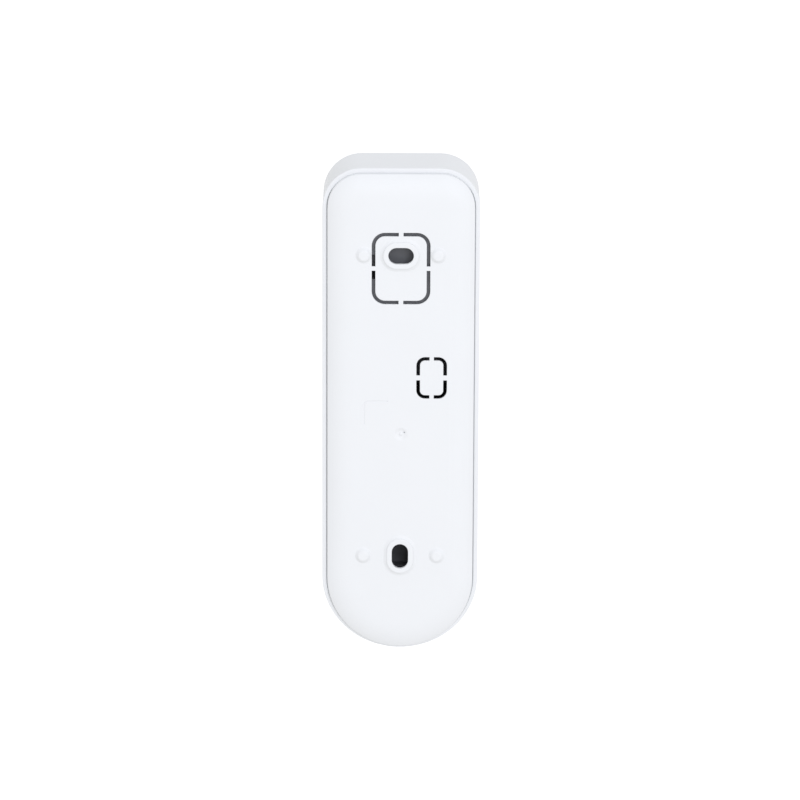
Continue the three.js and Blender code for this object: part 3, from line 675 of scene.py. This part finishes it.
def cover_holes(grow=0):
    """The openings in the cover's front, the window's first, each made larger by grow."""
    size = WINDOW_OPENING
    holes = [
        rounded(
            size["width"] + 2 * grow, size["height"] + 2 * grow, size["radius"] + grow,
            0, WINDOW["z"]),
        circle(PIR_HOLE + grow, 0, PIR_Z),
        circle(MICROPHONE_HOLE + grow, 0, MICROPHONE_Z, 20),
        circle(BUTTON_HOLE + grow, 0, BUTTON_Z, 96),
    ]
    for dz, length in SPEAKER_SLOTS:
        holes.append(obround(length + 2 * grow, SPEAKER_SLOT_WIDTH + 2 * grow, 0, SPEAKER_Z + dz))
    return holes


def front_cover():
    loops = [outline(d) for d in (0, 0.02, 0.06, 0.12, 0.2, 0.3, 0.75)]
    loops += [outline(d) for d in (LIP, LIP_FOOT, LIP_FOOT + STEP, WALL, WALL + STEP)]
    loops += [outline(FRONT_ROUNDING * (1 - math.cos(k * math.pi / 20))) for k in range(3, 11)]
    loops += [window_loop(WINDOW_GAP + grow) for grow in (-STEP, 0, 0.04, 0.09, EDGE)]
    for grow in EDGE_STEPS:
        loops += cover_holes(grow)[1:]
    for screws, radius, _, bore, _ in SCREW_BOSSES:
        for x, z in screws:
            loops += [circle(r + run, x, z, 24) for r in (radius, bore) for run in (0, STEP)]
    return relief_mesh(loops, cover_holes(), cover_back, cover_front)


COVER = shaded("cover", front_cover())
carve(
    COVER,
    box_mesh((-12.4, 12.4), (-7.3, -5.2), (67, HEIGHT / 2 - 0.55), 0),
    along_z(
        revolve_mesh([(0, -3), (3.25, -3), (2.9, 0.8), (2.9, 6), (0, 6)], 48, 0.01),
        LOCK_SCREW_Y, -HEIGHT / 2),
)
finish(COVER, "white_shell", replaces=["front_cover"])
LEDGE = relief_mesh(
    [outline(WALL - 0.3), outline(LEDGE_INSET - 0.1)], [outline(LEDGE_INSET)],
    level(LEDGE_BACK_Y), level(LEDGE_FRONT_Y))
finish(shaded("cover_ledge", LEDGE), "white_shell")

# ---------------------------------------------------------------- rib on the rear cover's raised panel


def knockout_rib():
    """A rib that reaches into the thinned track behind the upper knock-out's groove.

    It and its gap were put in to match how bright the groove is in the photo, which shows no rib.
    """
    outer = ring_loop(UPPER_RING, RIB_GROW)
    inner = ring_loop(UPPER_RING, -GROOVE - RIB_GROW)
    return relief_mesh([outer], [inner], level(RIB_BACK_Y), level(RIB_FRONT_Y))


RIB_GAP = box_mesh((6, 10), (-6, 0), RIB_GAP_Z, 0)
finish(carve(shaded("knockout_rib", knockout_rib()), RIB_GAP), "dark_housing")

# ---------------------------------------------------------------- front pieces


def turned(node, profile, slot, x=0, z=0, body="housing", radius=0.12, steps=96):
    """A piece turned about Y that stands for a CAD node."""
    bm = revolve_mesh(profile, steps, radius)
    bmesh.ops.translate(bm, vec=(x, 0, z), verts=bm.verts)
    return finish(shaded(node + "_piece", bm), slot, body, [node])


def window_front(points):
    edge = -signed(points, window_loop(0))
    hole = signed(points, circle(CAMERA_HOLE, 0, CAMERA_Z, 96))
    return FRONT_Y + edge_drop(np.maximum(edge, 0), 0.35) + edge_drop(np.maximum(hole, 0), 0.2)


def camera_window():
    loops = [window_loop(-inset) for inset in (0, 0.02, 0.07, 0.14, 0.23, 0.35)]
    loops += [circle(CAMERA_HOLE + grow, 0, CAMERA_Z, 96) for grow in (0.03, 0.1, 0.2)]
    hole = circle(CAMERA_HOLE, 0, CAMERA_Z, 96)
    return relief_mesh(loops, [hole], level(FRONT_Y + WINDOW_THICKNESS), window_front)


def ridged(profile, pitch, depth):
    """A front profile from the axis outwards, cut into fine concentric ridges."""
    radii = np.arange(0, profile[-1][0], pitch)
    heights = np.interp(radii, [r for r, _ in profile], [y for _, y in profile])
    return [(r, y + depth * (k % 2)) for k, (r, y) in enumerate(zip(radii.tolist(), heights.tolist()))]


finish(shaded("window", camera_window()), "gloss_window", replaces=["camera_window"])
turned(
    "lens_bezel",
    [(5.6, -28.6), (6.2, -29.3), (6.9, -29.3), (7.3, -28.9), (7.3, -27.5), (5.6, -27.5)],
    "dark_housing", z=CAMERA_Z)
turned(
    "lens_cover_glass", [(0, -28.5), (5.3, -28.5), (5.3, -27.7), (0, -27.7)], "clear_glass", z=CAMERA_Z)
BARREL = [(0, -25), (2.6, -25), (2.6, -25.5)]
for step in range(6):
    BARREL += [(2.75 + 0.28 * step, -25.5 - 0.22 * step), (3.0 + 0.28 * step, -25.5 - 0.22 * step)]
BARREL += [(4.5, -26.9), (6, -26.9), (6, -23), (5.4, -23), (5.4, -17.5), (0, -17.5)]
turned("lens_barrel", BARREL, "black_plastic", z=CAMERA_Z, radius=0.04)
DOME = [(r, -26.5 + 1.2 * (r / 2.4) ** 2 * 0.67) for r in (0, 0.4, 0.8, 1.2, 1.6, 2.0, 2.3)]
turned(
    "lens_element", [*DOME, (2.4, -25.6), (2.4, -25.3), (0, -25.3)],
    "coated_lens", z=CAMERA_Z, radius=0.03)
PIR_FRONT = [(0, -29.5), (2.4, -29.42), (4.6, -29.16), (6.4, -28.7)]
turned(
    "pir_lens",
    ridged(PIR_FRONT, 0.4, 0.16) + [
        (6.6, -28.6), (7, -28.2), (7, -26.1), (8.4, -26.1), (8.4, -25.3), (6.1, -25.3), (6.1, -27.9),
        (4.2, -28.4), (2.2, -28.66), (0, -28.74)],
    "fresnel_lens", z=PIR_Z, radius=0.05)
turned(
    "button_light_ring",
    [(12.7, -28.7), (13, -29), (14, -29), (14.3, -28.7), (14.3, -26.1), (15.6, -26.1), (15.6, -25.2),
     (12.7, -25.2)],
    "diffuser", z=BUTTON_Z, steps=128)
turned(
    "button_cap",
    [(0, -28.8), (3, -28.81), (5, -28.85), (7, -28.91), (9, -29), (10.4, -29.1), (11.4, -29.18),
     (12.1, -29), (12.3, -28.5), (12.3, -24.9), (13.6, -24.9), (13.6, -24.1), (11, -24.1), (11, -27.4),
     (2.2, -27.4), (2.2, -24.6), (0, -24.6)],
    "white_shell", z=BUTTON_Z, body="push_button", radius=0.3, steps=128)
turned(
    "button_return_pad",
    [(5, -27.1), (6.4, -27.1), (6.4, -25.6), (7.6, -23.4), (7.6, -21.8), (5, -21.8)],
    "silicone", z=BUTTON_Z, body="push_button", radius=0.3)
turned(
    "switch_plunger", [(0, -24), (1.2, -24), (1.5, -23.7), (1.5, -21.9), (0, -21.9)],
    "led_package", z=BUTTON_Z, body="switch_actuator", steps=32)

# ---------------------------------------------------------------- tamper plunger and screws

turned(
    "tamper_plunger",
    [(0, -14.6), (1.2, -14.6), (1.6, -14.2), (1.6, -4.3), (3, -4.3), (3, -3.5), (2.6, -3.1), (0, -3.1)],
    "white_shell", *TAMPER, body="tamper_actuator", steps=48)


def coil_mesh(radius, wire, low, high, turns, per_turn=24, sides=10):
    """A closed helical spring about Y."""
    bm = bmesh.new()
    count = turns * per_turn
    rings = []
    for k in range(count + 1):
        angle = 2 * math.pi * k / per_turn
        y = low + wire + (high - low - 2 * wire) * k / count
        out = Vector((math.cos(angle), 0, math.sin(angle)))
        ring = []
        for side in range(sides):
            a = 2 * math.pi * side / sides
            height = Vector((0, y + wire * math.sin(a), 0))
            ring.append(bm.verts.new(out * (radius + wire * math.cos(a)) + height))
        rings.append(ring)
    for ring, following in zip(rings, rings[1:]):
        for side in range(sides):
            n = (side + 1) % sides
            bm.faces.new([ring[side], ring[n], following[n], following[side]])
    bm.faces.new(rings[0])
    bm.faces.new(rings[-1][::-1])
    return bm


SPRING = coil_mesh(2.45, 0.3, -12, -4.6, 6)
bmesh.ops.translate(SPRING, vec=(TAMPER[0], 0, TAMPER[1]), verts=SPRING.verts)
finish(shaded("tamper_coil", SPRING), "steel", "tamper_actuator", ["tamper_spring"])


def pan_screw(head_radius, head_height, shaft_radius, shaft_length):
    """A pan-head screw with a cross recess; its head stands on y = 0 and points to +Y."""
    profile = [(0, -shaft_length), (shaft_radius * 0.6, -shaft_length)]
    pitch = shaft_radius * 0.4
    for k in range(int(shaft_length / pitch) - 1):
        y = -shaft_length + pitch * (k + 0.5)
        profile += [(shaft_radius * 0.82, y), (shaft_radius, y + pitch * 0.5)]
    profile += [(shaft_radius * 0.82, -0.1), (shaft_radius * 0.82, 0), (head_radius, 0)]
    for k in range(7):
        a = k * math.pi / 12
        bulge = head_height * (0.45 + 0.55 * math.sin(a))
        profile.append((head_radius * (0.35 + 0.65 * math.cos(a)), bulge))
    profile.append((0, head_height))
    made = shaded("screw", revolve_mesh(profile, 32, 0.03))
    arm = head_radius * 0.55
    width = head_radius * 0.13
    floor_y = head_height * 0.3
    return carve(
        made,
        box_mesh((-arm, arm), (floor_y, head_height + 1), (-width, width), 0),
        box_mesh((-width, width), (floor_y, head_height + 1), (-arm, arm), 0))


SCREWS = [
    ("housing_screw", (2.3, 1.5, 1.1, 11.2), -8.3, HOUSING_SCREWS),
    ("terminal_screw", (1.9, 1.2, 1.0, 2.2), -11.7, [(-11.5, -0.7), (-5.5, -0.7)]),
    ("board_screw", (2.0, 1.3, 0.9, 5.4), -19.1, BOARD_SCREWS),
]
for label, sizes, seat_y, places in SCREWS:
    pattern = pan_screw(*sizes)
    for k, (x, z) in enumerate(places):
        mesh = pattern.data.copy()
        mesh.transform(Matrix.Rotation(0.4 + 0.9 * k, 4, "Y"))
        mesh.transform(Matrix.Translation(Vector((x, seat_y, z)) * MM))
        screw = linked(f"{label}_{k + 1}_piece", mesh)
        screw.modifiers.new("weighted", "WEIGHTED_NORMAL").keep_sharp = True
        finish(screw, "steel", replaces=[f"{label}_{k + 1}"])
    bpy.data.objects.remove(pattern)

LOCK_PROFILE = [(0, -69), (2.2, -69), (2.5, -68.8), (2.5, -66.8), (1.2, -66.8)]
for k in range(20):
    LOCK_PROFILE += [(1.0, -66.4 + 0.45 * k), (1.2, -66.2 + 0.45 * k)]
LOCK_PROFILE += [(0.8, -57.3), (0, -57.3)]
LOCK_SCREW = shaded(
    "lock_screw_piece", along_z(revolve_mesh(LOCK_PROFILE, 48, 0.03), LOCK_SCREW_Y, 0))
SOCKET = along_z(
    revolve_mesh([(0, -70), (1.3, -70), (1.3, -67.7), (0, -67.4)], 6, 0.001), LOCK_SCREW_Y, 0)
finish(carve(LOCK_SCREW, SOCKET), "steel", "lock_screw", ["security_screw"])

# ---------------------------------------------------------------- the rest of the CAD pieces

for row in frame["record"]["subparts"]:
    piece = frame["nodes"][row["node"]]
    if not piece.hide_render:
        piece.data.materials.clear()
        piece.data.materials.append(MATERIALS[row["material_slot"]])
        bevel = piece.modifiers.new("bevel", "BEVEL")
        bevel.width = 0.12 * MM
        bevel.segments = 2
        bevel.limit_method = "ANGLE"
        bevel.angle_limit = math.radians(40)
        bevel.use_clamp_overlap = True
        piece.modifiers.new("weighted", "WEIGHTED_NORMAL")

# ---------------------------------------------------------------- floor, light and camera

FLOOR_Z = -0.32         # in metres, as the floor's size is
FLOOR_SIZE = 40
FLOOR_GLOW = 0.33
SKY = 0.86


def floor():
    bm = bmesh.new()
    bmesh.ops.create_grid(bm, x_segments=8, y_segments=8, size=FLOOR_SIZE)
    bmesh.ops.translate(bm, vec=(0, 0, FLOOR_Z), verts=bm.verts)
    mesh = bpy.data.meshes.new("floor")
    bm.to_mesh(mesh)
    bm.free()
    made = linked("floor", mesh)
    mesh.materials.append(surface(
        "floor", (0.85, 0.85, 0.85), 0.9, 40, 0, 0.003, Emission_Color=(1, 1, 1, 1),
        Emission_Strength=FLOOR_GLOW))
    made.visible_diffuse = False


floor()
world = bpy.data.worlds.new("studio")
world.use_nodes = True
background = world.node_tree.nodes["Background"]
background.inputs["Color"].default_value = (1, 1, 1, 1)
background.inputs["Strength"].default_value = SKY
bpy.context.scene.world = world


def area_light(name, place, target, size, watts, colour):
    lamp = bpy.data.lights.new(name, "AREA")
    lamp.size = size
    lamp.energy = watts
    lamp.color = colour
    made = linked(name, lamp)
    made.location = place
    made.rotation_mode = "QUATERNION"
    made.rotation_quaternion = (Vector(target) - Vector(place)).to_track_quat("-Z", "Y")


area_light("key", (-0.5, 1.8, 0.7), (0, 0, 0), 1.0, 12, (0.98, 1, 1.10))
area_light("sky_panel", (0, 0.2, 2), (0, 0, 0), 1.5, 2.4, (0.5, 0.65, 1))

ELEVATION = math.radians(14.4)
DISTANCE = 1.388
AIM = Vector((0.00014, RIM_Y * MM, 0.0031))
BACKWARD = Vector((0, math.cos(ELEVATION), math.sin(ELEVATION)))
camera_data = bpy.data.cameras.new("camera")
camera_data.lens = 221.9
camera_data.sensor_width = 36
camera_data.clip_start = 0.01
camera_data.clip_end = 100
camera = linked("camera", camera_data)
camera.location = AIM + BACKWARD * DISTANCE
camera.rotation_mode = "QUATERNION"
camera.rotation_quaternion = (
    (-BACKWARD).to_track_quat("-Z", "Y") @ Quaternion((0, 0, 1), math.radians(0.233)))
bpy.context.scene.camera = camera
bpy.context.scene.view_settings.view_transform = "Standard"
